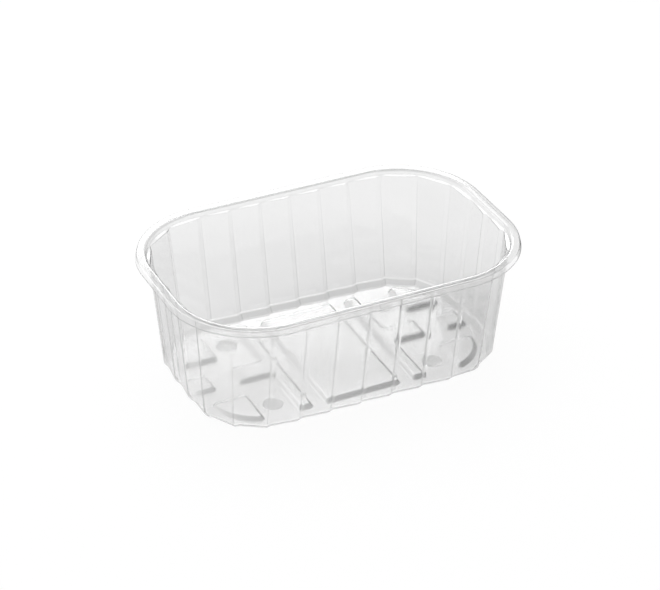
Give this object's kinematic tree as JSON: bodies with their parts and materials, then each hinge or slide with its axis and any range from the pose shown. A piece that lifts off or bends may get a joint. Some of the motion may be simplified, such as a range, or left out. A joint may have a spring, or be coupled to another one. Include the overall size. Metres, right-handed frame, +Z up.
{
  "type": "berry punnet",
  "caption": "Clear plastic berry punnet: an open pleated tray with rounded corners, a flat sealing flange, a turned down skirt and raised pads on the floor.",
  "frame": {"origin": "middle of the footprint, at the level that the feet stand on", "axes": "+X along the long side, +Y across the tray, +Z up through the open top"},
  "size_m": [0.1884, 0.1254, 0.0666],
  "materials": {
    "clear_sheet": "clear gloss"
  },
  "bodies": {
    "root": {"punnet": "clear_sheet"}
  },
  "joints": []
}
